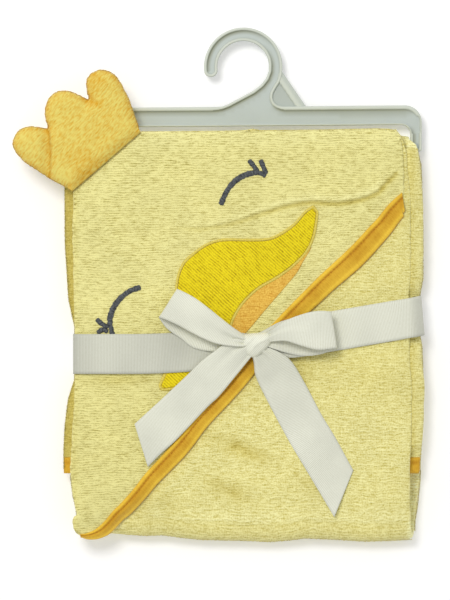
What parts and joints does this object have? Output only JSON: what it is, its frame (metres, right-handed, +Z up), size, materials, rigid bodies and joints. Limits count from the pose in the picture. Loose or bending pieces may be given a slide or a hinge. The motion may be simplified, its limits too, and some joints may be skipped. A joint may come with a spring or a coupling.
{
  "type": "hooded baby towel",
  "caption": "Hooded baby towel with a duck-face hood and plush comb, folded over a plastic hanger and tied with a ribbon bow",
  "frame": {"origin": "centre of the bounding box in X and Y, on the surface the packet lies on", "axes": "+Y from the towel towards the hanger's hook, +Z up out of the hood's face, +X to the right seen from above"},
  "size_m": [0.2631, 0.3287, 0.0383],
  "materials": {
    "terry": "pale yellow cotton terry, looped pile",
    "hood_terry": "pale yellow cotton terry, looped pile in rows",
    "binding_tape": "golden orange knit binding, folded and stitched",
    "bill_yellow": "bright yellow terry applique",
    "bill_orange": "orange terry applique",
    "outline_thread": "satin stitch",
    "eye_thread": "slate grey satin stitch",
    "plush": "golden short-pile plush",
    "filling": "white polyester fibre filling",
    "ribbon": "ivory grosgrain ribbon, soft sheen",
    "hanger_plastic": "pale grey-green moulded polystyrene"
  },
  "bodies": {
    "towel": {"towel_sheet": "terry", "rear_hem_binding": "binding_tape", "hood_panel": "hood_terry", "hood_binding": "binding_tape", "bill_upper": "bill_yellow", "bill_lower": "bill_orange", "bill_outline_stitch": "outline_thread", "eye_right_lid": "eye_thread", "eye_right_lash_inner": "eye_thread", "eye_right_lash_outer": "eye_thread", "eye_left_lid": "eye_thread", "eye_left_lash_inner": "eye_thread", "eye_left_lash_outer": "eye_thread", "ribbon_band": "ribbon", "ribbon_knot": "ribbon"},
    "hanger": {"hanger": "hanger_plastic"},
    "crown": {"crown_front_panel": "plush", "crown_back_panel": "plush", "crown_filling": "filling"},
    "loop_left": {"ribbon_loop_left": "ribbon"},
    "loop_right": {"ribbon_loop_right": "ribbon"},
    "tail_left": {"ribbon_tail_left": "ribbon"},
    "tail_right": {"ribbon_tail_right": "ribbon"}
  },
  "joints": [
    {"name": "hanger_tilt", "type": "hinge", "parent": "towel", "child": "hanger", "pos_m": [0.0158, 0.088, 0.0082], "axis": [1, 0, 0], "range_deg": [-4, 8]},
    {"name": "crown_fold", "type": "hinge", "parent": "towel", "child": "crown", "pos_m": [-0.0713, 0.07835, 0.0262], "axis": [0.7564, 0.6541, 0], "range_deg": [0, 110]},
    {"name": "loop_left_lift", "type": "hinge", "parent": "towel", "child": "loop_left", "pos_m": [0.0146, -0.0368, 0.0352], "axis": [0.473, 0.881, 0], "range_deg": [0, 35]},
    {"name": "loop_right_lift", "type": "hinge", "parent": "towel", "child": "loop_right", "pos_m": [0.0343, -0.0362, 0.0352], "axis": [0.148, -0.989, 0], "range_deg": [0, 35]},
    {"name": "tail_left_lift", "type": "hinge", "parent": "towel", "child": "tail_left", "pos_m": [0.0171, -0.0446, 0.0289], "axis": [-0.7413, 0.6712, 0], "range_deg": [0, 60]},
    {"name": "tail_right_lift", "type": "hinge", "parent": "towel", "child": "tail_right", "pos_m": [0.0279, -0.0457, 0.0289], "axis": [-0.8978, -0.4404, 0], "range_deg": [0, 60]}
  ]
}
